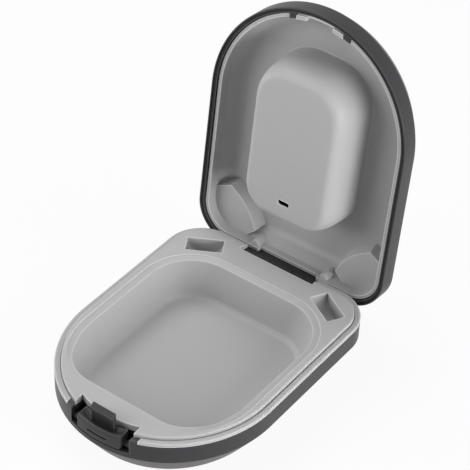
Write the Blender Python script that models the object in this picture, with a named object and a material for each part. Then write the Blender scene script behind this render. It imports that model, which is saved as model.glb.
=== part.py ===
"""Hearing aid case, held open: a dark base and lid, light grey tray and lid liner, hinge pin and front latch.

The pieces are drawn in case coordinates: x across, y from the middle of the front arc towards the hinge,
z from the parting line, where base and lid meet. The lid is drawn closed, from its own rim, and an empty
on the hinge axis opens it. The finished case stands on its foot pad at z = 0.
"""

import math

import bmesh
import bpy

# Plan of the case: a straight back with two round corners and a half ellipse at the front
HALF_WIDTH = 0.0370
BACK = 0.0581
FRONT = 0.0391
BACK_CORNER = 0.0131
LEAST_CORNER = 0.0045

# Section of both shells: an upright wall, a bevel and a rounded edge to the flat
BEVEL_ANGLE = math.radians(34.5)
EDGE_RADIUS = 0.0070
SHELL_WALL = 0.0018
BASE_DEPTH = 0.0185
BASE_WALL_HEIGHT = 0.0065
LID_DEPTH = 0.0132
LID_WALL_HEIGHT = 0.0061

CLEARANCE = 0.0003
RUNNING_GAP = 0.0001
OVERRUN = 0.0050
OVERLAP = 0.0005

# Tray: a flange with an outer band, a groove and a raised deck, and the basin under it
BAND_TOP = 0.00126
BAND_WIDTH = 0.0018
BAND_ROUNDING = 0.0004
GROOVE_FLOOR = 0.0006
DECK_TOP = 0.00233
DECK_ROUNDING = 0.0002
TRAY_WALL = 0.0012
RIB_DEPTH = 0.0015
RIB_RELIEF = 0.0002
BASIN_SIDE_MARGIN = 0.0064
BASIN_FRONT_MARGIN = 0.0131
BASIN_BACK_MARGIN = 0.0151
BASIN_FRONT_STRAIGHT = 0.0143
BASIN_FRONT_RADIUS_Y = 0.0222
BASIN_BACK_STRAIGHT = 0.0138
BASIN_FLOOR = 0.0115
BASIN_DRAFT = math.radians(15.0)
BASIN_FILLET = 0.0018
LEDGE_WIDTH = 0.0021
LEDGE_DEPTH = 0.00035
LEDGE_FADE_LENGTH = 0.0180
LEDGE_FADE_END = 0.0020
POCKET_SIDE_MARGIN = 0.0122
POCKET_BACK_MARGIN = 0.0103
POCKET_ANGLE = math.radians(29.9)
POCKET_LENGTH = 0.0125
POCKET_WIDTH = 0.0063

# Hinge: the axis, its pin and the knuckles
HINGE_MARGIN = 0.00187
HINGE_DROP = 0.00160
OPEN_ANGLE = math.radians(96.25)
KNUCKLE_RADIUS = 0.00185
HINGE_PIN_RADIUS = 0.00075
MIDDLE_KNUCKLE_HALF = 0.0042
HINGE_OPENING_HALF = 0.0142
HINGE_OPENING_DEPTH = 0.0041
HINGE_BEARING_LENGTH = 0.0020
HINGE_BLOCK_HALF = 0.0170
HINGE_BLOCK_DEPTH = 0.0080
HINGE_BLOCK_REACH = 0.0029
WEB_WALL = 0.0016
HINGE_NOTCH_CLEARANCE = 0.00058

# Latch: a button on a pin in a cage behind the front window, with a hook on top
WINDOW_HALF = 0.0112
WINDOW_DEPTH = 0.0047
POST_WIDTH = 0.0022
POST_TOP = 0.0010
CAGE_WALL = 0.0017
CAGE_INSET = 0.0055
CAGE_BACK_WALL = 0.0032
CAGE_DEPTH = 0.0070
NOTCH_INSET = 0.0052
BUTTON_HALF = 0.0083
BUTTON_TOP = 0.0009
BUTTON_INSET = 0.0044
GRIP_HALF = 0.0037
GRIP_DROP = 0.0022
GRIP_HEIGHT = 0.0006
GRIP_DEPTH = 0.0006
SCOOP_RADIUS_X = 0.0063
SCOOP_RADIUS_Y = 0.0022
SCOOP_RADIUS_Z = 0.0023
SCOOP_INSET = 0.0027
SCOOP_RISE = 0.0005
LATCH_PIVOT_INSET = 0.0039
LATCH_PIVOT_DROP = 0.0034
LATCH_PIN_RADIUS = 0.0006
LATCH_BARREL_RADIUS = 0.0011
HOOK_HALF = 0.0043
HOOK_NECK = 0.0013
HOOK_BACK_TOP = 0.0063
HOOK_NOSE_TOP = 0.0050
HOOK_NOSE_REACH = 0.0007
SPRING_DROP = 0.0013
SPRING_RADIUS = 0.0008
SPRING_WIRE = 0.00022
SPRING_TURNS = 3.5
SPRING_SEAT_INSET = 0.0038
SPRING_HOLE_DEPTH = 0.0017

# Foot pad and the screws under it
PAD_MARGIN = 0.0015
PAD_RECESS = 0.0008
PAD_PROUD = 0.0005
SCREW_SIDE_MARGIN = 0.0205
SCREW_FRONT_MARGIN = 0.0271
SCREW_BACK_MARGIN = 0.0261
SCREW_HEAD_RADIUS = 0.0019
SCREW_HEAD_HEIGHT = 0.0008
SCREW_RADIUS = 0.0008
SCREW_SOCKET_RADIUS = 0.0009
SCREW_SOCKET_DEPTH = 0.0004
SCREW_SEAT_RADIUS = 0.0034
SCREW_SEAT_THICKNESS = 0.0013
BOSS_RADIUS = 0.0026
BOSS_ROOF = 0.0004

# Lid rim, from outside in: an edge, a groove with the seal, a lower ridge and the liner
RIM_EDGE = 0.0005
SEAL_GROOVE_WIDTH = 0.0008
SEAL_GROOVE_DEPTH = 0.0011
SEAL_GAP = 0.00015
SEAL_RECESS = 0.00035
RIDGE_RECESS = 0.0003
LUG_INNER_X = 0.0089
LUG_OUTER_X = 0.0112
LUG_REACH = 0.0008
LUG_DEPTH = 0.0030
LUG_TOP = 0.0007

# Lid liner: a light grey cup with a hollow pillow that reaches into the basin
LINER_WALL = 0.0012
LINER_RECESS = 0.00127
PILLOW_RISE = 0.0068
PILLOW_SIDE_MARGIN = 0.0222
PILLOW_FRONT_MARGIN = 0.0212
PILLOW_BACK_MARGIN = 0.0248
PILLOW_FRONT_STRAIGHT = 0.0038
PILLOW_BACK_STRAIGHT = 0.0066
PILLOW_FOOT_SPREAD = 0.0034
PILLOW_CROWN_INSET = 0.0018
PILLOW_ROUNDING_SHARE = 0.77
PILLOW_WALL = 0.0014
SLOT_HALF_LENGTH = 0.0022
SLOT_HALF_WIDTH = 0.0008
SLOT_MARGIN = 0.0060
PAD_SIDE_MARGIN = 0.0090
PAD_CORNER_MARGIN = 0.0195
PAD_END_OFFSET = 0.0015
PAD_END_MARGIN = 0.0054
PAD_BULGE = 0.0017
PAD_SPREAD = 0.0012
PAD_DEPTH = 0.0048
HINGE_RIDGE_X = 0.0139
HINGE_RIDGE_RADIUS = 0.00165
HINGE_RIDGE_HEIGHT = 0.0015
HINGE_RIDGE_TOP = 0.0030
CHANNEL_HALF = 0.0118
CHANNEL_DEPTH = 0.0026
CATCH_HALF = 0.0048
CATCH_WALL = 0.0006
CATCH_HEIGHT = 0.0012
CATCH_POCKET_TOP = 0.0065
CATCH_POCKET_REACH = 0.0060

# Steps along round outlines, and two fixed ratios
CORNER_STEPS = 7
FRONT_STEPS = 32
EDGE_STEPS = 4
QUARTER_STEPS = 7
FLANK_STEPS = 9
ROUND_STEPS = 24
SOCKET_SIDES = 6
SPRING_TURN_STEPS = 10

SMOOTH_ANGLE = math.radians(30)
DIAGONAL_SHARE = math.sqrt(0.5)

# Places that follow from the sizes above
BASIN_HALF_WIDTH = HALF_WIDTH - BASIN_SIDE_MARGIN
BASIN_FRONT = FRONT - BASIN_FRONT_MARGIN
BASIN_BACK = BACK - BASIN_BACK_MARGIN
POCKET_X = HALF_WIDTH - POCKET_SIDE_MARGIN
POCKET_Y = BACK - POCKET_BACK_MARGIN
HINGE_Y = BACK - HINGE_MARGIN
TRAY_HINGE_NOTCH = HINGE_Y - KNUCKLE_RADIUS - HINGE_NOTCH_CLEARANCE
SCREW_X = HALF_WIDTH - SCREW_SIDE_MARGIN
SCREW_FRONT_Y = SCREW_FRONT_MARGIN - FRONT
SCREW_BACK_Y = BACK - SCREW_BACK_MARGIN
PILLOW_HALF = HALF_WIDTH - PILLOW_SIDE_MARGIN
PILLOW_BACK = BACK - PILLOW_BACK_MARGIN
PAD_CORNER_X = HALF_WIDTH - PAD_SIDE_MARGIN
PAD_CORNER_Y = BACK - PAD_CORNER_MARGIN
PAD_END_X = HINGE_RIDGE_X + PAD_END_OFFSET
PAD_END_Y = BACK - PAD_END_MARGIN
PARTING_HEIGHT = BASE_DEPTH + PAD_PROUD
LID_RIM_Z = BAND_TOP + CLEARANCE
HINGE_Z = -HINGE_DROP
DECK_INSET = BAND_WIDTH + CLEARANCE
LINER_INSET = SHELL_WALL + CLEARANCE
LATCH_Y = LATCH_PIVOT_INSET - FRONT
LATCH_Z = -LATCH_PIVOT_DROP
SPRING_Z = -SPRING_DROP
WINDOW_FLOOR = -WINDOW_DEPTH
BUTTON_FLOOR = WINDOW_FLOOR + CLEARANCE
CAGE_HALF = WINDOW_HALF + CAGE_WALL
POST_HALF = WINDOW_HALF + POST_WIDTH


def rounded_outline(half, front, back, front_x, front_y, back_radius):
    """Points of a box outline from y = -front to y = back, its front corners elliptic and its back ones round."""
    corners = (
        (half - back_radius, back - back_radius, back_radius, back_radius),
        (back_radius - half, back - back_radius, back_radius, back_radius),
        (front_x - half, front_y - front, front_x, front_y),
        (half - front_x, front_y - front, front_x, front_y),
    )
    points = []
    for quarter, (x, y, radius_x, radius_y) in enumerate(corners):
        for step in range(QUARTER_STEPS + 1):
            angle = (quarter + step / QUARTER_STEPS) * math.pi / 2
            points.append((x + radius_x * math.cos(angle), y + radius_y * math.sin(angle)))
    return points


def case_outline(inset):
    """Plan outline of the case, drawn in by inset."""
    half = HALF_WIDTH - inset
    corner = max(BACK_CORNER - inset, LEAST_CORNER)
    centre_x = half - corner
    centre_y = BACK - inset - corner
    points = []
    for side in (1, -1):
        for step in range(CORNER_STEPS + 1):
            turn = step / CORNER_STEPS if side == 1 else 1 - step / CORNER_STEPS
            angle = turn * math.pi / 2
            points.append((side * (centre_x + corner * math.cos(angle)), centre_y + corner * math.sin(angle)))
    for step in range(FRONT_STEPS + 1):
        angle = math.pi * (1 + step / FRONT_STEPS)
        points.append((half * math.cos(angle), (FRONT - inset) * math.sin(angle)))
    return points


def circle_outline(radius, x=0, y=0, steps=ROUND_STEPS):
    angles = [2 * math.pi * step / steps for step in range(steps)]
    return [(x + radius * math.cos(angle), y + radius * math.sin(angle)) for angle in angles]


def basin_outline(grow):
    return rounded_outline(
        BASIN_HALF_WIDTH + grow,
        BASIN_FRONT + grow,
        BASIN_BACK + grow,
        BASIN_HALF_WIDTH - BASIN_FRONT_STRAIGHT + grow,
        BASIN_FRONT_RADIUS_Y + grow,
        BASIN_HALF_WIDTH - BASIN_BACK_STRAIGHT + grow,
    )


def pillow_outline(grow):
    return rounded_outline(
        PILLOW_HALF + grow,
        FRONT - PILLOW_FRONT_MARGIN + grow,
        PILLOW_BACK + grow,
        PILLOW_HALF - PILLOW_FRONT_STRAIGHT + grow,
        PILLOW_HALF - PILLOW_FRONT_STRAIGHT + grow,
        PILLOW_HALF - PILLOW_BACK_STRAIGHT + grow,
    )


def level(points, z):
    return [(x, y, z) for x, y in points]


def shell_profile(wall_height, depth, offset):
    """Inset and depth of a shell's section from the wall's foot to the flat, drawn inwards by offset."""
    drop = depth - wall_height - EDGE_RADIUS * (1 - math.sin(BEVEL_ANGLE))
    run = drop * math.tan(BEVEL_ANGLE)
    centre_inset = run + EDGE_RADIUS * math.cos(BEVEL_ANGLE)
    centre_depth = depth - EDGE_RADIUS
    radius = EDGE_RADIUS - offset
    points = [(offset, wall_height - offset * math.tan(BEVEL_ANGLE / 2))]
    for step in range(EDGE_STEPS + 1):
        angle = BEVEL_ANGLE + (math.pi / 2 - BEVEL_ANGLE) * step / EDGE_STEPS
        points.append((centre_inset - radius * math.cos(angle), centre_depth + radius * math.sin(angle)))
    return points


def link(obj, parent):
    bpy.context.scene.collection.objects.link(obj)
    obj.parent = parent
    if parent:
        obj.location = HOMES[parent.name]
    return obj


def solid(name, bm, parent):
    """An object from a closed mesh, its faces turned outwards and smooth across shallow edges."""
    bmesh.ops.recalc_face_normals(bm, faces=bm.faces)
    mesh = bpy.data.meshes.new(name)
    bm.to_mesh(mesh)
    bm.free()
    mesh.shade_smooth()
    mesh.set_sharp_from_angle(angle=SMOOTH_ANGLE)
    return link(bpy.data.objects.new(name, mesh), parent)


def loft(name, rings, parent, closed=False):
    """A solid skinned over rings of equally many points, with a cap on each end, or closed into a ring."""
    bm = bmesh.new()
    loops = [[bm.verts.new(point) for point in ring] for ring in rings]
    pairs = list(zip(loops, loops[1:]))
    if closed:
        pairs.append((loops[-1], loops[0]))
    else:
        bm.faces.new(loops[0])
        bm.faces.new(loops[-1])
    for first, second in pairs:
        for i in range(len(first)):
            j = (i + 1) % len(first)
            bm.faces.new((first[i], first[j], second[j], second[i]))
    return solid(name, bm, parent)


def prism(name, points, low, high, parent):
    return loft(name, [level(points, low), level(points, high)], parent)


def box(name, x, y, z, parent):
    """A box between two values on each axis."""
    corners = [(x[0], y[0]), (x[1], y[0]), (x[1], y[1]), (x[0], y[1])]
    return prism(name, corners, z[0], z[1], parent)


def bar(name, profile, x, parent):
    """A solid with a profile of (y, z) points, between two values of x."""
    return loft(name, [[(end, y, z) for y, z in profile] for end in x], parent)


def rod(name, radius, y, z, x, parent, steps=ROUND_STEPS):
    return bar(name, circle_outline(radius, y, z, steps), x, parent)


def boolean(target, operation, *tools):
    """Joins, cuts or intersects the target with each tool, which becomes a hidden helper."""
    for tool in tools:
        modifier = target.modifiers.new(tool.name, "BOOLEAN")
        modifier.operation = operation
        modifier.solver = "EXACT"
        modifier.object = tool
        tool.hide_render = True
        tool.display_type = "WIRE"
    return target


def front_slice(name, x, insets, z, parent):
    """A block along the front arc, between two values of x and z, from one inset of the outline to another."""
    block = box(name, x, (-FRONT - OVERRUN, -FRONT / 2), z, parent)
    outer, inner = insets
    reach = (z[0] - OVERRUN, z[1] + OVERRUN)
    if outer is not None:
        boolean(block, "INTERSECT", prism(name + "_outer", case_outline(outer), *reach, parent))
    if inner is not None:
        boolean(block, "DIFFERENCE", prism(name + "_inner", case_outline(inner), *reach, parent))
    return block


def finish(obj, colour, roughness, metallic=0.0):
    material = bpy.data.materials.new(obj.name)
    material.use_nodes = True
    shader = material.node_tree.nodes["Principled BSDF"]
    shader.inputs["Base Color"].default_value = (*colour, 1.0)
    shader.inputs["Roughness"].default_value = roughness
    shader.inputs["Metallic"].default_value = metallic
    obj.data.materials.append(material)
    return obj


DARK_PLASTIC = ((0.050, 0.050, 0.053), 0.42)
LIGHT_PLASTIC = ((0.46, 0.46, 0.46), 0.50)
RUBBER = ((0.015, 0.015, 0.015), 0.80)
STEEL = ((0.55, 0.55, 0.56), 0.30, 1.0)


def screw_places():
    return [(x, y) for x in (-SCREW_X, SCREW_X) for y in (SCREW_FRONT_Y, SCREW_BACK_Y)]


def flat_inset():
    return shell_profile(BASE_WALL_HEIGHT, BASE_DEPTH, 0)[-1][0]


def screw_seat_z():
    """Underside of the head's seat and top of the seat, in the floor of the base shell."""
    head_seat = PAD_RECESS - BASE_DEPTH + SCREW_HEAD_HEIGHT + CLEARANCE
    return head_seat, head_seat + SCREW_SEAT_THICKNESS


def base_shell(case):
    outside = shell_profile(BASE_WALL_HEIGHT, BASE_DEPTH, 0)
    inside = shell_profile(BASE_WALL_HEIGHT, BASE_DEPTH, SHELL_WALL)
    rings = [level(case_outline(inset), -depth) for inset, depth in reversed(outside)]
    rings += [level(case_outline(inset), POST_TOP) for inset in (0, SHELL_WALL)]
    rings += [level(case_outline(inset), -depth) for inset, depth in inside]
    shell = loft("base_shell", rings, case)

    trim = prism("rim_trim", case_outline(-OVERRUN), -CLEARANCE, POST_TOP + OVERRUN, case)
    posts = box("post_keep", (-POST_HALF, POST_HALF), (-FRONT - 2 * OVERRUN, 0),
                (-OVERRUN, POST_TOP + 2 * OVERRUN), case)
    boolean(trim, "DIFFERENCE", posts)

    cage = front_slice("latch_cage", (-CAGE_HALF, CAGE_HALF), (SHELL_WALL / 2, CAGE_INSET + CAGE_BACK_WALL),
                       (-CAGE_DEPTH, -CLEARANCE), case)
    block_back = BACK - SHELL_WALL / 2
    block_front = HINGE_Y - HINGE_BLOCK_REACH
    block = box("hinge_block", (-HINGE_BLOCK_HALF, HINGE_BLOCK_HALF), (block_front, block_back),
                (-HINGE_BLOCK_DEPTH, -CLEARANCE), case)
    boolean(block, "INTERSECT", hinge_block_limit(case))
    seat_low, seat_top = screw_seat_z()
    seats = [prism("screw_seat", circle_outline(SCREW_SEAT_RADIUS, x, y), seat_low - OVERLAP, seat_top, case)
             for x, y in screw_places()]
    boolean(shell, "DIFFERENCE", trim)
    boolean(shell, "UNION", cage, block, *seats)

    window = front_slice("latch_window", (-WINDOW_HALF, WINDOW_HALF), (None, CAGE_INSET),
                         (WINDOW_FLOOR, POST_TOP + OVERRUN), case)
    spring_back = CAGE_INSET + SPRING_HOLE_DEPTH - FRONT
    spring_seat = y_rod("spring_seat", spring_hole_radius(), (LATCH_Y, spring_back), case)
    latch_bore = rod("latch_bores", LATCH_PIN_RADIUS + RUNNING_GAP, LATCH_Y, LATCH_Z,
                     (-CAGE_HALF - OVERLAP, CAGE_HALF + OVERLAP), case)
    opening = box("hinge_opening", (-HINGE_OPENING_HALF, HINGE_OPENING_HALF),
                  (HINGE_Y - KNUCKLE_RADIUS - CLEARANCE, BACK + OVERRUN), (-HINGE_OPENING_DEPTH, OVERRUN), case)
    boolean(shell, "DIFFERENCE", window, spring_seat, latch_bore, opening)

    boolean(shell, "UNION", middle_knuckle(case))
    bearing = HINGE_OPENING_HALF + HINGE_BEARING_LENGTH
    hinge_bore = rod("hinge_bores", HINGE_PIN_RADIUS + RUNNING_GAP, HINGE_Y, HINGE_Z, (-bearing, bearing), case)
    recess = prism("pad_recess", case_outline(flat_inset() + PAD_MARGIN - CLEARANCE),
                   -BASE_DEPTH - OVERRUN, PAD_RECESS - BASE_DEPTH, case)
    boolean(shell, "DIFFERENCE", hinge_bore, recess)
    for x, y in screw_places():
        head = circle_outline(SCREW_HEAD_RADIUS + CLEARANCE, x, y)
        hole = circle_outline(SCREW_RADIUS + CLEARANCE, x, y)
        rings = [level(head, -BASE_DEPTH - OVERRUN), level(head, seat_low),
                 level(hole, seat_low), level(hole, seat_top + OVERRUN)]
        boolean(shell, "DIFFERENCE", loft("screw_hole", rings, case))
    return finish(shell, *DARK_PLASTIC)


def hinge_block_limit(case):
    """The space inside the middle of the base's wall, which keeps the hinge block off the outer face."""
    middle = shell_profile(BASE_WALL_HEIGHT, BASE_DEPTH, SHELL_WALL / 2)
    rings = [level(case_outline(inset), -depth) for inset, depth in reversed(middle)]
    rings.append(level(case_outline(SHELL_WALL / 2), OVERRUN))
    return loft("hinge_block_limit", rings, case)


def middle_knuckle(case):
    """The base's knuckle between the lid's two: a block with a round top."""
    foot = -HINGE_OPENING_DEPTH - OVERLAP
    profile = [(HINGE_Y + KNUCKLE_RADIUS * math.cos(angle), HINGE_Z + KNUCKLE_RADIUS * math.sin(angle))
               for angle in (math.pi * step / (ROUND_STEPS / 2) for step in range(ROUND_STEPS // 2 + 1))]
    profile += [(HINGE_Y - KNUCKLE_RADIUS, foot), (BACK - SHELL_WALL / 2, foot)]
    profile.append((BACK - SHELL_WALL / 2, -HINGE_OPENING_DEPTH + OVERLAP))
    return bar("middle_knuckle", profile, (-MIDDLE_KNUCKLE_HALF, MIDDLE_KNUCKLE_HALF), case)


def y_rod(name, radius, y, parent):
    """A round bar along y at the latch spring's height."""
    ring = circle_outline(radius, 0, SPRING_Z)
    return loft(name, [[(x, end, z) for x, z in ring] for end in y], parent)


def spring_hole_radius():
    return SPRING_RADIUS + SPRING_WIRE + RUNNING_GAP + RUNNING_GAP


def basin_section(grow):
    """Rings of the basin's inside from the floor up, or of its outside when grown by the wall."""
    def shrink(z):
        return grow - (DECK_TOP - z) * math.tan(BASIN_DRAFT)

    floor = -BASIN_FLOOR - grow
    fillet = BASIN_FILLET + grow
    rings = []
    for step in range(EDGE_STEPS + 1):
        angle = math.pi / 2 * step / EDGE_STEPS
        z = floor + fillet * (1 - math.cos(angle))
        rings.append(level(basin_outline(shrink(z) - fillet * (1 - math.sin(angle))), z))
    return rings, shrink


def pocket_solid(name, side, grow, case):
    """A half disc on edge, its round side down: a button cell's pocket, or its shell when grown by the wall."""
    radius = POCKET_LENGTH / 2 + grow
    profile = [(radius * math.cos(angle), radius * math.sin(angle))
               for angle in (math.pi * (1 + step / ROUND_STEPS) for step in range(ROUND_STEPS + 1))]
    lift = -BAND_TOP if grow else OVERRUN
    profile += [(radius, lift), (-radius, lift)]
    along = (math.cos(POCKET_ANGLE), -side * math.sin(POCKET_ANGLE))
    across = (side * math.sin(POCKET_ANGLE), math.cos(POCKET_ANGLE))
    rings = []
    for offset in (-POCKET_WIDTH / 2 - grow, POCKET_WIDTH / 2 + grow):
        rings.append([(side * POCKET_X + s * along[0] + offset * across[0],
                       POCKET_Y + s * along[1] + offset * across[1], DECK_TOP + z) for s, z in profile])
    return loft(name, rings, case)


def tray_flange(case):
    """The tray's plate: a locating rib below, then the outer band, the groove and the raised deck."""
    rib_inner = DECK_INSET + TRAY_WALL
    section = [(rib_inner, 0), (rib_inner, -RIB_DEPTH), (DECK_INSET, -RIB_DEPTH), (DECK_INSET, 0), (0, 0)]
    for step in range(EDGE_STEPS):
        angle = math.pi / 2 * step / (EDGE_STEPS - 1)
        section.append((BAND_ROUNDING * (1 - math.cos(angle)), BAND_TOP - BAND_ROUNDING * (1 - math.sin(angle))))
    section += [(BAND_WIDTH, BAND_TOP), (BAND_WIDTH, GROOVE_FLOOR), (DECK_INSET, GROOVE_FLOOR)]
    section += [(DECK_INSET, DECK_TOP - DECK_ROUNDING), (DECK_INSET + DECK_ROUNDING, DECK_TOP)]
    return loft("base_tray", [level(case_outline(inset), z) for inset, z in section], case)


def ledge_cutter(case):
    """The shallow step round the basin, which runs out towards the front."""
    rings = []
    for grow, above in ((-LEDGE_WIDTH, OVERRUN), (LEDGE_WIDTH, OVERRUN), (LEDGE_WIDTH, 0), (-LEDGE_WIDTH, 0)):
        ring = []
        for x, y in basin_outline(grow):
            share = (y + BASIN_FRONT - LEDGE_FADE_END) / LEDGE_FADE_LENGTH
            fade = min(max(share, 0), 1)
            low = DECK_TOP + LEDGE_DEPTH * (1 - 2 * fade)
            ring.append((x, y, above if above else low))
        rings.append(ring)
    return loft("ledge", rings, case)


def base_tray(case):
    tray = tray_flange(case)
    rings, shrink = basin_section(TRAY_WALL)
    rings.append(level(basin_outline(shrink(OVERLAP)), OVERLAP))
    boolean(tray, "UNION", loft("bowl", rings, case))
    boolean(tray, "UNION", *[pocket_solid("pocket_shell", side, TRAY_WALL, case) for side in (1, -1)])
    seat_top = screw_seat_z()[1]
    bowl_bottom = -BASIN_FLOOR - TRAY_WALL
    for x, y in screw_places():
        boss = prism("screw_boss", circle_outline(BOSS_RADIUS, x, y), seat_top + CLEARANCE,
                     bowl_bottom + OVERLAP, case)
        boolean(tray, "UNION", boss)

    rings, shrink = basin_section(0)
    rings.append(level(basin_outline(shrink(DECK_TOP + OVERRUN)), DECK_TOP + OVERRUN))
    boolean(tray, "DIFFERENCE", loft("basin", rings, case), ledge_cutter(case))
    boolean(tray, "DIFFERENCE", *[pocket_solid("pocket", side, 0, case) for side in (1, -1)])
    for x, y in screw_places():
        bore = prism("screw_bore", circle_outline(SCREW_RADIUS + CLEARANCE, x, y), seat_top - OVERRUN,
                     bowl_bottom - BOSS_ROOF, case)
        boolean(tray, "DIFFERENCE", bore)

    reach = (-RIB_DEPTH - OVERRUN, DECK_TOP + OVERRUN)
    notch_half = WINDOW_HALF + RUNNING_GAP
    notch = front_slice("latch_notch", (-notch_half, notch_half), (None, NOTCH_INSET), reach, case)
    band_end = POST_HALF + CLEARANCE
    band_gap = front_slice("band_gap", (-band_end, band_end), (None, BAND_WIDTH + CLEARANCE / 2), reach, case)
    rib_end = CAGE_HALF + CLEARANCE
    rib_gap = front_slice("rib_gap_front", (-rib_end, rib_end), (None, DECK_INSET + TRAY_WALL + CLEARANCE),
                          (-RIB_DEPTH - OVERRUN, RIB_RELIEF), case)
    block_end = HINGE_BLOCK_HALF + CLEARANCE
    rib_gap_back = box("rib_gap_back", (-block_end, block_end), (TRAY_HINGE_NOTCH - OVERLAP, BACK - DECK_INSET / 2),
                       (-RIB_DEPTH - OVERRUN, RIB_RELIEF), case)
    hinge_end = HINGE_OPENING_HALF + CLEARANCE + RUNNING_GAP
    hinge_notch = box("hinge_notch", (-hinge_end, hinge_end), (TRAY_HINGE_NOTCH, BACK + OVERRUN), reach, case)
    boolean(tray, "DIFFERENCE", notch, band_gap, rib_gap, rib_gap_back, hinge_notch)
    return finish(tray, *LIGHT_PLASTIC)


def foot_pad(case):
    outline = case_outline(flat_inset() + PAD_MARGIN)
    top = PAD_RECESS - BASE_DEPTH - CLEARANCE
    return finish(prism("foot_pad", outline, -PARTING_HEIGHT, top, case), *RUBBER)


def base_screw(number, x, y, case):
    low = PAD_RECESS - BASE_DEPTH
    head_top = low + SCREW_HEAD_HEIGHT
    tip = -BASIN_FLOOR - TRAY_WALL - BOSS_ROOF - CLEARANCE
    head = circle_outline(SCREW_HEAD_RADIUS, x, y)
    shank = circle_outline(SCREW_RADIUS, x, y)
    rings = [level(head, low), level(head, head_top), level(shank, head_top), level(shank, tip)]
    screw = loft(f"base_screw_{number}", rings, case)
    socket = prism("screw_socket", circle_outline(SCREW_SOCKET_RADIUS, x, y, SOCKET_SIDES), low - OVERRUN,
                   low + SCREW_SOCKET_DEPTH, case)
    boolean(screw, "DIFFERENCE", socket)
    return finish(screw, *STEEL)


def hinge_pin(case):
    end = HINGE_OPENING_HALF + HINGE_BEARING_LENGTH - CLEARANCE
    return finish(rod("hinge_pin", HINGE_PIN_RADIUS, HINGE_Y, HINGE_Z, (-end, end), case), *STEEL)


def latch_pin(case):
    end = CAGE_HALF - CLEARANCE
    return finish(rod("latch_pin", LATCH_PIN_RADIUS, LATCH_Y, LATCH_Z, (-end, end), case), *STEEL)


def latch_spring(case):
    """A small coil spring on its side, from the button's back to the cage."""
    start = SPRING_SEAT_INSET - FRONT + SPRING_WIRE + RUNNING_GAP
    end = CAGE_INSET + SPRING_HOLE_DEPTH - FRONT - SPRING_WIRE - RUNNING_GAP
    curve = bpy.data.curves.new("latch_spring", "CURVE")
    curve.dimensions = "3D"
    curve.bevel_depth = SPRING_WIRE
    curve.bevel_resolution = 1
    curve.use_fill_caps = True
    steps = round(SPRING_TURNS * SPRING_TURN_STEPS)
    spline = curve.splines.new("POLY")
    spline.points.add(steps)
    for step, point in enumerate(spline.points):
        angle = 2 * math.pi * SPRING_TURNS * step / steps
        x = SPRING_RADIUS * math.cos(angle)
        z = SPRING_Z + SPRING_RADIUS * math.sin(angle)
        point.co = (x, start + (end - start) * step / steps, z, 1)
    return finish(link(bpy.data.objects.new("latch_spring", curve), case), *STEEL)


def hook_profile():
    """Outline of the latch hook seen from the side, as (y, z) points."""
    back = BUTTON_INSET - FRONT
    neck = back - HOOK_NECK
    nose = neck - HOOK_NOSE_REACH
    under = LID_RIM_Z + LINER_RECESS + CATCH_HEIGHT + CLEARANCE
    root = BUTTON_FLOOR / 2
    return [(back, root), (back, HOOK_BACK_TOP), (nose, HOOK_NOSE_TOP), (nose, under), (neck, under), (neck, root)]


def latch_button(pivot):
    button = front_slice("latch_button", (-BUTTON_HALF, BUTTON_HALF), (0, BUTTON_INSET),
                         (BUTTON_FLOOR, BUTTON_TOP), pivot)
    barrel_half = WINDOW_HALF - CLEARANCE
    barrel = rod("latch_barrel", LATCH_BARREL_RADIUS, LATCH_Y, LATCH_Z, (-barrel_half, barrel_half), pivot)
    grip_low = -GRIP_DROP - GRIP_HEIGHT / 2
    grip = front_slice("grip_groove", (-GRIP_HALF, GRIP_HALF), (None, GRIP_DEPTH),
                       (grip_low, grip_low + GRIP_HEIGHT), pivot)
    scoop_y = SCOOP_INSET - FRONT
    scoop_z = BUTTON_TOP + SCOOP_RISE
    rings = []
    for step in range(1, QUARTER_STEPS * 2):
        angle = math.pi * step / (QUARTER_STEPS * 2)
        ring = [(SCOOP_RADIUS_X * math.sin(angle) * math.cos(turn), scoop_y
                 + SCOOP_RADIUS_Y * math.sin(angle) * math.sin(turn), scoop_z - SCOOP_RADIUS_Z * math.cos(angle))
                for turn in (2 * math.pi * k / ROUND_STEPS for k in range(ROUND_STEPS))]
        rings.append(ring)
    scoop = loft("finger_scoop", rings, pivot)
    hook = bar("latch_hook", hook_profile(), (-HOOK_HALF, HOOK_HALF), pivot)
    bore = rod("button_bore", LATCH_PIN_RADIUS + RUNNING_GAP, LATCH_Y, LATCH_Z,
               (-barrel_half - OVERRUN, barrel_half + OVERRUN), pivot)
    spring_hole = y_rod("spring_hole", spring_hole_radius(), (SPRING_SEAT_INSET - FRONT, 0), pivot)
    boolean(button, "DIFFERENCE", scoop, grip)
    boolean(button, "UNION", barrel, hook)
    boolean(button, "DIFFERENCE", bore, spring_hole)
    return finish(button, *DARK_PLASTIC)


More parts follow.
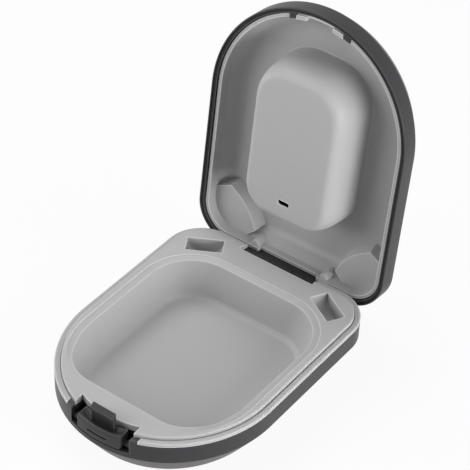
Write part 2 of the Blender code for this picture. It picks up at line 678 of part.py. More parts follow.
def lid_shell(lid):
    outside = shell_profile(LID_WALL_HEIGHT, LID_DEPTH, 0)
    inside = shell_profile(LID_WALL_HEIGHT, LID_DEPTH, SHELL_WALL)
    groove_end = RIM_EDGE + SEAL_GROOVE_WIDTH
    section = list(reversed(outside))
    section += [(0, 0), (RIM_EDGE, 0), (RIM_EDGE, SEAL_GROOVE_DEPTH), (groove_end, SEAL_GROOVE_DEPTH)]
    section += [(groove_end, RIDGE_RECESS), (SHELL_WALL, RIDGE_RECESS)]
    section += inside
    shell = loft("lid_shell", [level(case_outline(inset), z) for inset, z in section], lid)
    axis_z = HINGE_Z - LID_RIM_Z
    inner = MIDDLE_KNUCKLE_HALF + CLEARANCE
    outer = HINGE_OPENING_HALF - CLEARANCE
    web_back = HINGE_Y + KNUCKLE_RADIUS
    for side in (-1, 1):
        span = (side * inner, side * outer)
        web = box("lid_web", span, (web_back - WEB_WALL, web_back), (axis_z, 2 * SEAL_GROOVE_DEPTH), lid)
        knuckle = rod("lid_knuckle", KNUCKLE_RADIUS, HINGE_Y, axis_z, span, lid)
        lug = front_slice("lid_lug", (side * LUG_INNER_X, side * LUG_OUTER_X),
                          (groove_end + CLEARANCE, SHELL_WALL + LUG_REACH), (LUG_TOP, LUG_DEPTH), lid)
        boolean(shell, "UNION", web, knuckle, lug)
    bore = rod("lid_hinge_bore", HINGE_PIN_RADIUS + RUNNING_GAP, HINGE_Y, axis_z, (-HALF_WIDTH, HALF_WIDTH), lid)
    boolean(shell, "DIFFERENCE", bore)
    return finish(shell, *DARK_PLASTIC)


def lid_seal(lid):
    """An open ring of rubber in the rim's groove, which ends at the hinge."""
    outer = RIM_EDGE + SEAL_GAP
    inner = RIM_EDGE + SEAL_GROOVE_WIDTH - SEAL_GAP
    deep = SEAL_GROOVE_DEPTH - SEAL_GAP
    section = [(outer, SEAL_RECESS), (inner, SEAL_RECESS), (inner, deep), (outer, deep)]
    seal = loft("lid_seal", [level(case_outline(inset), z) for inset, z in section], lid, closed=True)
    gap_half = HINGE_OPENING_HALF + CLEARANCE
    gap = box("seal_gap", (-gap_half, gap_half), (HINGE_Y - OVERRUN, BACK + OVERRUN), (-OVERRUN, OVERRUN), lid)
    boolean(seal, "DIFFERENCE", gap)
    return finish(seal, *RUBBER)


def liner_solid(name, offset, rim_z, lid):
    section = shell_profile(LID_WALL_HEIGHT, LID_DEPTH, offset)
    rings = [level(case_outline(offset), rim_z)]
    rings += [level(case_outline(inset), z) for inset, z in section]
    return loft(name, rings, lid)


def pillow_section(inwards):
    """Spread and z of the pillow's rounded flank from foot to crown, drawn inwards."""
    crown = -PILLOW_RISE + inwards
    floor = LID_DEPTH - LINER_INSET - LINER_WALL
    points = []
    for step in range(FLANK_STEPS + 1):
        angle = math.pi / 2 * step / FLANK_STEPS
        out = (PILLOW_FOOT_SPREAD + PILLOW_CROWN_INSET) * math.cos(angle) ** PILLOW_ROUNDING_SHARE
        rise = math.sin(angle) ** PILLOW_ROUNDING_SHARE
        points.append((out - PILLOW_CROWN_INSET - inwards, floor + (crown - floor) * rise))
    return points


def pillow(lid):
    """The pillow from its foot in the liner's floor to its crown beyond the rim."""
    section = pillow_section(0)
    section.insert(0, (PILLOW_FOOT_SPREAD, LID_DEPTH - LINER_INSET - LINER_WALL / 2))
    return loft("pillow", [level(pillow_outline(spread), z) for spread, z in section], lid)


def pillow_hollow(lid):
    section = pillow_section(PILLOW_WALL)
    section.insert(0, (PILLOW_FOOT_SPREAD - PILLOW_WALL, LID_DEPTH - LINER_INSET + OVERRUN))
    return loft("pillow_hollow", [level(pillow_outline(spread), z) for spread, z in section], lid)


def corner_pad(side, lid):
    """A raised pad in a hinge-side corner of the liner, with a bulged inner edge and a sloped flank."""
    def inner_edge(spread):
        points = []
        for step in range(QUARTER_STEPS + 1):
            share = step / QUARTER_STEPS
            bulge = PAD_BULGE * math.sin(math.pi * share) + spread
            x = PAD_CORNER_X + (PAD_END_X - PAD_CORNER_X) * share
            y = PAD_CORNER_Y + (PAD_END_Y - PAD_CORNER_Y) * share
            points.append((side * (x - bulge * DIAGONAL_SHARE), y - bulge * DIAGONAL_SHARE))
        points.append((side * (PAD_END_X + BACK - PAD_END_Y), BACK))
        points.append((side * HALF_WIDTH, BACK))
        points.append((side * HALF_WIDTH, PAD_CORNER_Y + (HALF_WIDTH - PAD_CORNER_X) / 2))
        return points

    bottom = LID_DEPTH - LINER_INSET - LINER_WALL / 2
    pad = loft("corner_pad", [level(inner_edge(0), PAD_DEPTH), level(inner_edge(PAD_SPREAD), bottom)], lid)
    return boolean(pad, "INTERSECT", liner_solid("pad_limit", LINER_INSET + LINER_WALL / 2, 0, lid))


def hinge_ridge(side, lid):
    """The half-round rib on the liner's back wall, over the end of a lid knuckle."""
    face = BACK - LINER_INSET - LINER_WALL
    foot = face + LINER_WALL / 2
    half_turn = [math.pi * step / (ROUND_STEPS / 2) for step in range(ROUND_STEPS // 2 + 1)]
    profile = [(side * HINGE_RIDGE_X + HINGE_RIDGE_RADIUS * math.cos(angle),
                face - HINGE_RIDGE_HEIGHT * math.sin(angle)) for angle in half_turn]
    profile += [(side * HINGE_RIDGE_X - HINGE_RIDGE_RADIUS, foot), (side * HINGE_RIDGE_X + HINGE_RIDGE_RADIUS, foot)]
    bottom = LID_DEPTH - LINER_INSET - LINER_WALL / 2
    ridge = prism("hinge_ridge", profile, HINGE_RIDGE_TOP, bottom, lid)
    return boolean(ridge, "INTERSECT", liner_solid("ridge_limit", LINER_INSET + LINER_WALL / 2, 0, lid))


def lid_liner(lid):
    liner = liner_solid("lid_liner", LINER_INSET, LINER_RECESS, lid)
    boolean(liner, "DIFFERENCE", liner_solid("liner_hollow", LINER_INSET + LINER_WALL, -OVERRUN, lid))
    boolean(liner, "UNION", pillow(lid))
    for side in (-1, 1):
        boolean(liner, "UNION", corner_pad(side, lid), hinge_ridge(side, lid))
        lug_notch = front_slice("lug_notch", (side * (LUG_INNER_X - CLEARANCE), side * (LUG_OUTER_X + CLEARANCE)),
                                (None, SHELL_WALL + LUG_REACH + CLEARANCE), (-OVERRUN, LUG_DEPTH + CLEARANCE), lid)
        boolean(liner, "DIFFERENCE", lug_notch)
    boolean(liner, "DIFFERENCE", pillow_hollow(lid))
    slot = rounded_outline(SLOT_HALF_LENGTH, SLOT_HALF_WIDTH, SLOT_HALF_WIDTH, SLOT_HALF_WIDTH, SLOT_HALF_WIDTH,
                           SLOT_HALF_WIDTH)
    slot = [(x, PILLOW_BACK - SLOT_MARGIN + y) for x, y in slot]
    boolean(liner, "DIFFERENCE", prism("slot", slot, -PILLOW_RISE - OVERRUN, 2 * PILLOW_WALL - PILLOW_RISE, lid))
    channel_front = BACK - LINER_INSET - LINER_WALL - HINGE_RIDGE_HEIGHT
    channel = box("hinge_channel", (-CHANNEL_HALF, CHANNEL_HALF), (channel_front, BACK),
                  (-OVERRUN, CHANNEL_DEPTH), lid)
    catch_top = LINER_RECESS + CATCH_HEIGHT
    rim_cut = front_slice("catch_rim", (-CATCH_HALF, CATCH_HALF), (LINER_INSET + CATCH_WALL, CATCH_POCKET_REACH),
                          (-OVERRUN, catch_top + RIB_RELIEF), lid)
    pocket = front_slice("catch_pocket", (-CATCH_HALF, CATCH_HALF), (None, CATCH_POCKET_REACH),
                         (catch_top, CATCH_POCKET_TOP), lid)
    boolean(liner, "DIFFERENCE", channel, rim_cut, pocket)
    return finish(liner, *LIGHT_PLASTIC)


def empty(name, location, parent, turn=0):
    obj = bpy.data.objects.new(name, None)
    obj.location = location
    obj.rotation_euler = (turn, 0, 0)
    obj.parent = parent
    bpy.context.scene.collection.objects.link(obj)
    return obj


# Where a piece's coordinates start, seen from the empty that carries it
HOMES = {
    "case": (0, 0, 0),
    "lid_hinge": (0, -HINGE_Y, LID_RIM_Z - HINGE_Z),
    "latch_pivot": (0, -LATCH_Y, -LATCH_Z),
}

for old in list(bpy.data.objects):
    bpy.data.objects.remove(old)

case_frame = empty("case", (0, 0, PARTING_HEIGHT), None)
lid_frame = empty("lid_hinge", (0, HINGE_Y, HINGE_Z), case_frame, -OPEN_ANGLE)
latch_frame = empty("latch_pivot", (0, LATCH_Y, LATCH_Z), case_frame)

base_shell(case_frame)
base_tray(case_frame)
foot_pad(case_frame)
for index, (screw_x, screw_y) in enumerate(screw_places(), start=1):
    base_screw(index, screw_x, screw_y, case_frame)
hinge_pin(case_frame)
latch_pin(case_frame)
latch_spring(case_frame)
latch_button(latch_frame)
lid_shell(lid_frame)
lid_seal(lid_frame)
lid_liner(lid_frame)
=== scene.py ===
"""Hearing aid case: detailed shapes, materials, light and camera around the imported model."""

import math

import bmesh
import bpy
from mathutils import Matrix, Vector

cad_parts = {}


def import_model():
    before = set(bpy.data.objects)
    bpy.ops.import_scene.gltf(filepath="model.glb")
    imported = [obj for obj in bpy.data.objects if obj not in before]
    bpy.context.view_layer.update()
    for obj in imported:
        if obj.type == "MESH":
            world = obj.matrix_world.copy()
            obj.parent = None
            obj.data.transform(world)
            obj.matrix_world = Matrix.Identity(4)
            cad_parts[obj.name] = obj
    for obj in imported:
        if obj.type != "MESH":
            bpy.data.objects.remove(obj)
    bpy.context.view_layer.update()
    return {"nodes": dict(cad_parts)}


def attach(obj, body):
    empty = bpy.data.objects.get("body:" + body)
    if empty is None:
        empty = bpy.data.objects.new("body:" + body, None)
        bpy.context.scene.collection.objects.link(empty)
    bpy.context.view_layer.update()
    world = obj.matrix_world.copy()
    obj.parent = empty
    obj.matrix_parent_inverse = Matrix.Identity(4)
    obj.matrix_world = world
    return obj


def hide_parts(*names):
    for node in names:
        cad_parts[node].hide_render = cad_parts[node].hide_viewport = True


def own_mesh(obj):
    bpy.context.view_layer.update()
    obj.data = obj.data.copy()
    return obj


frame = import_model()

# Lengths are in metres. The base and the latch are made with z from the parting line of the case,
# the lid as if it were closed, with z from its own rim. place() moves each to where it belongs.
PARTING = 0.0190
HALF_WIDTH, BACK, FRONT = 0.0370, 0.0581, 0.0391
BACK_CORNER, LEAST_CORNER = 0.0131, 0.0045
BEVEL_ANGLE, BEVEL_FOOT_RADIUS, EDGE_RADIUS = math.radians(34.5), 0.0008, 0.0070
SHELL_WALL = 0.0018
BASE_DEPTH, BASE_WALL_HEIGHT = 0.0185, 0.0065
LID_DEPTH, LID_WALL_HEIGHT = 0.0132, 0.0061
BAND_TOP, BAND_WIDTH, GROOVE_FLOOR = 0.00126, 0.0018, 0.0006
DECK_TOP, DECK_INSET, TRAY_WALL = 0.00233, 0.0021, 0.0012
HINGE_Y, HINGE_Z, OPEN_ANGLE = 0.05623, -0.0016, math.radians(96.25)
KNUCKLE_RADIUS, PIN_RADIUS = 0.00185, 0.00075

# Clearance of most pieces, clearance of close-fitting pieces, and what a cutter reaches past its target
GAP, FINE_GAP, OVER = 0.0003, 0.0001, 0.0050
LID_RIM = BAND_TOP + GAP

# Radii of the rounded edges, steps in curves, and the angle up to which an edge is shaded smooth
CRISP, FINE, SOFT, BROAD = 0.0001, 0.00015, 0.0002, 0.0003
CORNER_STEPS, FRONT_STEPS, EDGE_STEPS, ARC_STEPS = 20, 120, 14, 24
SMOOTH_ANGLE = math.radians(28)


# Outlines

# Half width, front, back, the two radii of the front corners, radius of the back corners
BASIN = (0.0306, 0.0260, 0.0430, 0.0163, 0.0222, 0.0168)
PILLOW = (0.0148, 0.0179, 0.0333, 0.0110, 0.0110, 0.0082)


def case_outline(inset):
    """Plan outline of the case, drawn in by inset."""
    half = HALF_WIDTH - inset
    corner = max(BACK_CORNER - inset, LEAST_CORNER)
    centre_x = half - corner
    centre_y = BACK - inset - corner
    points = []
    for step in range(CORNER_STEPS + 1):
        angle = step / CORNER_STEPS * math.pi / 2
        points.append((centre_x + corner * math.cos(angle), centre_y + corner * math.sin(angle)))
    points += [(-x, y) for x, y in reversed(points)]
    points.append((-half, 0))
    for step in range(1, FRONT_STEPS):
        angle = math.pi * (1 + step / FRONT_STEPS)
        points.append((half * math.cos(angle), (FRONT - inset) * math.sin(angle)))
    points.append((half, 0))
    return points


def quad_outline(half, front, back, front_x, front_y, back_radius, steps=ARC_STEPS):
    """A box outline with elliptic front corners and round back corners."""
    corners = (
        (half - back_radius, back - back_radius, back_radius, back_radius),
        (back_radius - half, back - back_radius, back_radius, back_radius),
        (front_x - half, front_y - front, front_x, front_y),
        (half - front_x, front_y - front, front_x, front_y),
    )
    points = []
    for quarter, (x, y, radius_x, radius_y) in enumerate(corners):
        for step in range(steps + 1):
            angle = (quarter + step / steps) * math.pi / 2
            points.append((x + radius_x * math.cos(angle), y + radius_y * math.sin(angle)))
    return points


def grown(sizes, grow):
    """Outline of the basin or the pillow, grown outwards."""
    return quad_outline(*[size + grow for size in sizes])


def circle(radius, x=0, y=0, steps=48):
    angles = [2 * math.pi * step / steps for step in range(steps)]
    return [(x + radius * math.cos(angle), y + radius * math.sin(angle)) for angle in angles]


def half_round(radius_x, radius_y):
    """Points of half an ellipse about the origin, from +x over +y to -x."""
    angles = [math.pi * step / ARC_STEPS for step in range(ARC_STEPS + 1)]
    return [(radius_x * math.cos(angle), radius_y * math.sin(angle)) for angle in angles]


def side_span(side, start, end):
    """The span of x from start to end on one side of the middle."""
    return sorted((side * start, side * end))


def level(points, z):
    return [(x, y, z) for x, y in points]


def rounded(points, closed=False, steps=4):
    """A polyline of (a, b) or (a, b, radius) points, with an arc at each point that has a radius."""
    result = []
    count = len(points)
    for i, (a, b, *radius) in enumerate(points):
        if not radius or (not closed and i in (0, count - 1)):
            result.append((a, b))
            continue
        here = Vector((a, b))
        before = Vector(points[i - 1][:2]) - here
        after = Vector(points[(i + 1) % count][:2]) - here
        inner = before.angle(after)
        reach = min(radius[0] / math.tan(inner / 2), 0.48 * min(before.length, after.length))
        size = reach * math.tan(inner / 2)
        before.normalize()
        after.normalize()
        centre = here + (before + after).normalized() * size / math.sin(inner / 2)
        start = here + before * reach - centre
        end = here + after * reach - centre
        sweep = start.angle(end)
        for step in range(steps + 1):
            share = step / steps
            offset = start * math.sin((1 - share) * sweep) + end * math.sin(share * sweep)
            result.append(tuple(centre + offset / math.sin(sweep)))
    return result


def shell_profile(wall_height, depth, offset):
    """Inset and depth of a shell's section from the wall's foot to the flat, drawn inwards by offset."""
    drop = depth - wall_height - EDGE_RADIUS * (1 - math.sin(BEVEL_ANGLE))
    run = drop * math.tan(BEVEL_ANGLE)
    centre_inset = run + EDGE_RADIUS * math.cos(BEVEL_ANGLE)
    centre_depth = depth - EDGE_RADIUS
    radius = EDGE_RADIUS - offset
    points = [(offset, wall_height - offset * math.tan(BEVEL_ANGLE / 2), BEVEL_FOOT_RADIUS)]
    for step in range(EDGE_STEPS + 1):
        angle = BEVEL_ANGLE + (math.pi / 2 - BEVEL_ANGLE) * step / EDGE_STEPS
        points.append((centre_inset - radius * math.cos(angle), centre_depth + radius * math.sin(angle)))
    return points


def base_profile(offset):
    """Inset, z and any radius of the base's section, from the wall's foot down to the flat."""
    profile = shell_profile(BASE_WALL_HEIGHT, BASE_DEPTH, offset)
    return [(inset, -depth, *radius) for inset, depth, *radius in profile]


def lid_profile(offset):
    """Inset, z and any radius of the lid's section, from the wall's foot up to the flat."""
    return shell_profile(LID_WALL_HEIGHT, LID_DEPTH, offset)


def plain(profile):
    """A profile without its radii."""
    return [point[:2] for point in profile]


# Meshes

def solid(name, bm):
    bmesh.ops.recalc_face_normals(bm, faces=bm.faces)
    mesh = bpy.data.meshes.new(name)
    bm.to_mesh(mesh)
    bm.free()
    obj = bpy.data.objects.new(name, mesh)
    bpy.context.scene.collection.objects.link(obj)
    return obj


def loft(name, rings, closed=False):
    """A solid skinned over rings of equally many points, with a cap on each end, or closed into a ring."""
    bm = bmesh.new()
    loops = [[bm.verts.new(point) for point in ring] for ring in rings]
    pairs = list(zip(loops, loops[1:]))
    if closed:
        pairs.append((loops[-1], loops[0]))
    else:
        bm.faces.new(loops[0])
        bm.faces.new(loops[-1])
    for first, second in pairs:
        for i in range(len(first)):
            j = (i + 1) % len(first)
            bm.faces.new((first[i], first[j], second[j], second[i]))
    return solid(name, bm)


def case_loft(name, section, closed=False):
    """A solid round the case with a section of (inset, z) points."""
    return loft(name, [level(case_outline(inset), z) for inset, z in section], closed)


def prism(name, points, low, high):
    return loft(name, [level(points, low), level(points, high)])


def box(name, x, y, z):
    corners = [(x[0], y[0]), (x[1], y[0]), (x[1], y[1]), (x[0], y[1])]
    return prism(name, corners, z[0], z[1])


def bar(name, profile, x, ease=0):
    """A solid with a profile of (y, z) points between two values of x, its end edges eased."""
    centre = Vector((sum(y for y, z in profile), sum(z for y, z in profile))) / len(profile)

    def shrunk(amount):
        ring = []
        for y, z in profile:
            offset = Vector((y, z)) - centre
            ring.append(centre + offset * max(0, 1 - amount / offset.length))
        return ring

    ends = [(x[0], 0), (x[1], 0)]
    if ease:
        ends = [(x[0], ease), (x[0] + ease, 0), (x[1] - ease, 0), (x[1], ease)]
    return loft(name, [[(end, y, z) for y, z in shrunk(amount)] for end, amount in ends])


def rod(name, radius, y, z, x, ease=0):
    return bar(name, circle(radius, y, z), x, ease)


def combine(target, operation, *tools):
    """Joins, cuts or intersects the target with each tool, and removes the tools."""
    for tool in tools:
        modifier = target.modifiers.new(tool.name, "BOOLEAN")
        modifier.operation = operation
        modifier.solver = "EXACT"
        modifier.object = tool
        graph = bpy.context.evaluated_depsgraph_get()
        mesh = bpy.data.meshes.new_from_object(target.evaluated_get(graph))
        target.modifiers.clear()
        target.data = mesh
        bpy.data.objects.remove(tool)
    return target


def front_slice(name, x, insets, z):
    """A block along the front arc, between two values of x and z, and between two insets of the outline."""
    block = box(name, x, (-FRONT - OVER, -FRONT / 2), z)
    outer, inner = insets
    if outer is not None:
        combine(block, "INTERSECT", prism("outer", case_outline(outer), z[0] - OVER, z[1] + OVER))
    if inner is not None:
        combine(block, "DIFFERENCE", prism("inner", case_outline(inner), z[0] - OVER, z[1] + OVER))
    return block


CASE_PLACE = Matrix.Translation((0, 0, PARTING))
LID_PLACE = (CASE_PLACE @ Matrix.Translation((0, HINGE_Y, HINGE_Z)) @ Matrix.Rotation(-OPEN_ANGLE, 4, "X")
             @ Matrix.Translation((0, -HINGE_Y, LID_RIM - HINGE_Z)))


def place(obj, body, node, material):
    """Puts a finished piece in its place, on its body and instead of its node."""
    obj.data.transform(LID_PLACE if body == "lid" else CASE_PLACE)
    obj.data.shade_smooth()
    obj.data.set_sharp_from_angle(angle=SMOOTH_ANGLE)
    obj.data.materials.clear()
    obj.data.materials.append(material)
    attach(obj, body)
    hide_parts(node)


# Materials

class Nodes:
    """A short way to build a material's nodes."""

    def __init__(self, name):
        self.material = bpy.data.materials.new(name)
        self.material.use_nodes = True
        self.tree = self.material.node_tree
        self.shader = self.tree.nodes["Principled BSDF"]

    def add(self, kind, **inputs):
        node = self.tree.nodes.new(kind)
        for key, value in inputs.items():
            self.feed(node, key.replace("_", " "), value)
        return node

    def feed(self, node, key, value):
        if isinstance(value, bpy.types.NodeSocket):
            self.tree.links.new(value, node.inputs[key])
        else:
            node.inputs[key].default_value = value

    def set(self, key, value):
        """Sets or links an input of the surface shader."""
        self.feed(self.shader, key, value)

    def where(self):
        return self.add("ShaderNodeTexCoord").outputs["Object"]

    def noise(self, where, scale, detail, **inputs):
        node = self.add("ShaderNodeTexNoise", Vector=where, Scale=scale, Detail=detail, **inputs)
        return node.outputs["Fac"]

    def calculate(self, operation, *values):
        node = self.add("ShaderNodeMath")
        node.operation = operation
        for index, value in enumerate(values):
            self.feed(node, index, value)
        return node.outputs[0]

    def remap(self, value, low, high, start=0.0, end=1.0):
        """The value stretched from the range of start to end onto the range of low to high."""
        node = self.add("ShaderNodeMapRange", Value=value, From_Min=start, From_Max=end,
                        To_Min=low, To_Max=high)
        return node.outputs["Result"]

    def relief(self, strength, distance, **inputs):
        bump = self.add("ShaderNodeBump", Strength=strength, Distance=distance, **inputs)
        self.set("Normal", bump.outputs["Normal"])


def moulded_plastic(name, colour, roughness, specular, spread, grain, bump, rounding, edge_highlight_gain):
    """Moulded plastic: a spark-eroded grain, faint clouding of colour and gloss, and eased edges with a
    painted highlight that makes the colour paler along convex edges.
    """
    nodes = Nodes(name)
    where = nodes.where()
    cloud = nodes.noise(where, 60.0, 3.0, Roughness=0.6)
    speck = nodes.noise(where, grain, 4.0, Roughness=0.7)
    pits = nodes.add("ShaderNodeTexVoronoi", Vector=where, Scale=grain * 1.7)
    pits.feature = "SMOOTH_F1"

    tone = nodes.add("ShaderNodeMix")
    tone.data_type = "RGBA"
    nodes.feed(tone, "A", (*[c * (1 - spread) for c in colour], 1))
    nodes.feed(tone, "B", (*[c * (1 + spread) for c in colour], 1))
    nodes.feed(tone, "Factor", nodes.calculate("MULTIPLY", nodes.calculate("ADD", cloud, speck), 0.5))
    # Painted highlight: ambient occlusion looking into the solid finds the convex edges, and the colour is
    # made paler there in place of light caught on the edges.
    inside = nodes.add("ShaderNodeAmbientOcclusion", Distance=0.00045)
    inside.inside = True
    inside.only_local = True
    inside.samples = 8
    highlighted_colour = nodes.add("ShaderNodeVectorMath")
    highlighted_colour.operation = "SCALE"
    nodes.feed(highlighted_colour, 0, tone.outputs["Result"])
    nodes.feed(highlighted_colour, "Scale", nodes.remap(inside.outputs["AO"], 1 + edge_highlight_gain, 1.0, start=0.5))
    nodes.set("Base Color", highlighted_colour.outputs["Vector"])
    nodes.set("Roughness", nodes.remap(speck, roughness - 0.04, roughness + 0.06, start=0.3, end=0.7))
    nodes.set("Specular IOR Level", specular)

    edge = nodes.add("ShaderNodeBevel", Radius=rounding)
    edge.samples = 6
    height = nodes.calculate("MULTIPLY_ADD", pits.outputs["Distance"], 0.6, speck)
    nodes.relief(bump, 0.00005, Height=height, Normal=edge.outputs["Normal"])
    return nodes.material


def rubber(name):
    """Matt black rubber with a fine speckle."""
    nodes = Nodes(name)
    speck = nodes.noise(nodes.where(), 4000.0, 3.0)
    nodes.set("Base Color", nodes.remap(speck, 0.008, 0.022))
    nodes.set("Roughness", 0.75)
    nodes.relief(0.3, 0.00004, Height=speck)
    return nodes.material


def steel(name):
    """Bright steel with fine lines along x."""
    nodes = Nodes(name)
    stretch = nodes.add("ShaderNodeMapping", Vector=nodes.where(), Scale=(400, 6000, 6000)).outputs["Vector"]
    line = nodes.noise(stretch, 1.0, 3.0)
    nodes.set("Base Color", (0.55, 0.55, 0.56, 1))
    nodes.set("Roughness", nodes.remap(line, 0.22, 0.42))
    nodes.set("Metallic", 1.0)
    return nodes.material


# The last argument sets how strongly the painted highlight makes each plastic's convex edges paler.
dark = moulded_plastic("dark_plastic", colour=(0.034, 0.034, 0.036), roughness=0.40, specular=0.22,
                       spread=0.10, grain=5200.0, bump=0.28, rounding=0.00018, edge_highlight_gain=0.9)
light = moulded_plastic("light_plastic", colour=(0.42, 0.42, 0.42), roughness=0.46, specular=0.30,
                        spread=0.018, grain=4200.0, bump=0.16, rounding=0.00020, edge_highlight_gain=0.65)
black_rubber = rubber("black_rubber")
bright_steel = steel("bright_steel")


# Base

BASIN_FLOOR, BASIN_DRAFT, BASIN_FILLET = 0.0115, math.radians(15.0), 0.0018
LEDGE_WIDTH, LEDGE_DEPTH, LEDGE_SLOPE = 0.0021, 0.0003, 0.00035
LEDGE_FADE_FROM, LEDGE_FADE_TO, LEDGE_END_SHARE = -0.0175, -0.0250, 0.25
POCKET_X, POCKET_Y, POCKET_ANGLE = 0.0248, 0.0478, math.radians(29.9)
POCKET_LENGTH, POCKET_WIDTH, POCKET_STEPS = 0.0125, 0.0063, 40
RIB_DEPTH, DECK_SECTION_END = 0.0015, 0.0040
NOTCH_INSET, NOTCH_FLOOR, HINGE_NOTCH_Y = 0.0052, -0.0065, 0.0538
RIB_GAP_TOP, RIB_GAP_BACK_HALF, RIB_GAP_BACK_Y = 0.0002, 0.0173, 0.0533
WINDOW_HALF, WINDOW_DEPTH = 0.0112, 0.0047
POST_HALF, POST_TOP = WINDOW_HALF + 0.0022, 0.0010
CAGE_HALF, CAGE_INSET, CAGE_BACK, CAGE_DEPTH = WINDOW_HALF + 0.0017, 0.0055, 0.0032, 0.0070
HINGE_OPENING_HALF, HINGE_OPENING_DEPTH = 0.0142, 0.0041
HINGE_BLOCK_HALF, HINGE_BLOCK_REACH, HINGE_BLOCK_DEPTH = 0.0170, 0.0029, 0.0080
KNUCKLE_HALF, KNUCKLE_OVERLAP, PIN_BORE_HALF = 0.0042, 0.0005, 0.0162
RECESS_INSET, RECESS_DEPTH = 0.0012, 0.0008


def draft(z, grow):
    return grow - (DECK_TOP - z) * math.tan(BASIN_DRAFT)


def basin_rings(grow, top):
    """Rings of the basin's inside, or of its outside when grown by the wall, from the floor to the top."""
    floor_z = -BASIN_FLOOR - grow
    fillet = BASIN_FILLET + grow
    rings = []
    for step in range(EDGE_STEPS + 1):
        angle = math.pi / 2 * step / EDGE_STEPS
        z = floor_z + fillet * (1 - math.cos(angle))
        rings.append(level(grown(BASIN, draft(z, grow) - fillet * (1 - math.sin(angle))), z))
    rings.append(level(grown(BASIN, draft(top, grow)), top))
    return rings


def ledge_cutter():
    """The shallow ledge round the basin, which slopes inwards and runs out at its front corners."""
    rings = [level(grown(BASIN, grow), OVER) for grow in (-LEDGE_WIDTH, LEDGE_WIDTH)]
    for grow, drop in ((LEDGE_WIDTH, LEDGE_DEPTH), (-LEDGE_WIDTH, LEDGE_DEPTH + 2 * LEDGE_SLOPE)):
        ring = []
        for (x, y), (far_x, far_y) in zip(grown(BASIN, 0), grown(BASIN, grow)):
            fade = min(max((y - LEDGE_FADE_TO) / (LEDGE_FADE_FROM - LEDGE_FADE_TO), 0), 1)
            width = LEDGE_END_SHARE + (1 - LEDGE_END_SHARE) * fade
            z = DECK_TOP + LEDGE_DEPTH * (1 - fade) - drop * fade
            ring.append((x + (far_x - x) * width, y + (far_y - y) * width, z))
        rings.append(ring)
    return loft("ledge", rings)


def pocket(name, side, grow):
    """A half disc on edge, round side down: a button cell's pocket, or its shell when grown by the wall."""
    radius = POCKET_LENGTH / 2 + grow
    half = POCKET_WIDTH / 2 + grow
    lift = -BAND_TOP if grow else OVER
    angles = [math.pi * (1 + step / POCKET_STEPS) for step in range(POCKET_STEPS + 1)]
    profile = [(radius * math.cos(angle), radius * math.sin(angle)) for angle in angles]
    profile += [(radius, lift), (-radius, lift)]
    along = (math.cos(POCKET_ANGLE), -side * math.sin(POCKET_ANGLE))
    across = (side * math.sin(POCKET_ANGLE), math.cos(POCKET_ANGLE))
    rings = []
    for offset in (-half, half):
        rings.append([(side * POCKET_X + s * along[0] + offset * across[0],
                       POCKET_Y + s * along[1] + offset * across[1], DECK_TOP + z) for s, z in profile])
    return loft(name, rings)


def tray():
    """The light insert of the base: outer band, groove, deck, basin and the two cell pockets."""
    rib = DECK_INSET + TRAY_WALL
    section = [(rib, 0), (rib, -RIB_DEPTH), (DECK_INSET, -RIB_DEPTH), (DECK_INSET, 0), (0, 0, CRISP),
               (0, BAND_TOP, SOFT), (BAND_WIDTH, BAND_TOP, FINE), (BAND_WIDTH, GROOVE_FLOOR),
               (DECK_INSET, GROOVE_FLOOR), (DECK_INSET, DECK_TOP, BROAD), (DECK_SECTION_END, DECK_TOP)]
    obj = case_loft("tray", rounded(section, steps=5))
    combine(obj, "UNION", loft("bowl", basin_rings(TRAY_WALL, FINE_GAP)))
    for side in (-1, 1):
        combine(obj, "UNION", pocket("pocket_shell", side, TRAY_WALL))
    combine(obj, "DIFFERENCE", loft("basin", basin_rings(0, DECK_TOP + OVER)), ledge_cutter())
    for side in (-1, 1):
        combine(obj, "DIFFERENCE", pocket("pocket", side, 0))
    full = (NOTCH_FLOOR, DECK_TOP + OVER)
    under = (NOTCH_FLOOR, RIB_GAP_TOP)
    notch = WINDOW_HALF + FINE_GAP
    band_end = POST_HALF + GAP
    rib_end = CAGE_HALF + GAP
    hinge_end = HINGE_OPENING_HALF + GAP + FINE_GAP
    combine(obj, "DIFFERENCE",
            front_slice("notch", (-notch, notch), (None, NOTCH_INSET), full),
            front_slice("band_gap", (-band_end, band_end), (None, BAND_WIDTH + GAP / 2), full),
            front_slice("rib_gap", (-rib_end, rib_end), (None, rib + GAP), under),
            box("rib_gap_back", (-RIB_GAP_BACK_HALF, RIB_GAP_BACK_HALF),
                (RIB_GAP_BACK_Y, BACK - DECK_INSET / 2), under),
            box("hinge_notch", (-hinge_end, hinge_end), (HINGE_NOTCH_Y, BACK + OVER), full))
    place(obj, "base", "base_tray", light)


def latch_cage():
    """The block behind the front wall that carries the latch."""
    return front_slice("cage", (-CAGE_HALF, CAGE_HALF), (SHELL_WALL / 2, CAGE_INSET + CAGE_BACK),
                       (-CAGE_DEPTH, -GAP))


def hinge_block():
    """The block inside the back wall that carries the hinge."""
    middle = plain(reversed(base_profile(SHELL_WALL / 2)))
    block = box("block", (-HINGE_BLOCK_HALF, HINGE_BLOCK_HALF),
                (HINGE_Y - HINGE_BLOCK_REACH, BACK - SHELL_WALL / 2), (-HINGE_BLOCK_DEPTH, -GAP))
    return combine(block, "INTERSECT", case_loft("limit", middle + [(SHELL_WALL / 2, OVER)]))


def base_knuckle():
    """The middle knuckle of the hinge, with its foot in the block and in the back wall."""
    foot = -HINGE_OPENING_DEPTH - KNUCKLE_OVERLAP
    heel = -HINGE_OPENING_DEPTH + KNUCKLE_OVERLAP
    wall_y = BACK - SHELL_WALL / 2
    profile = [(HINGE_Y + y, HINGE_Z + z) for y, z in half_round(KNUCKLE_RADIUS, KNUCKLE_RADIUS)]
    profile += [(HINGE_Y - KNUCKLE_RADIUS, foot), (wall_y, foot), (wall_y, heel)]
    return bar("knuckle", profile, (-KNUCKLE_HALF, KNUCKLE_HALF))


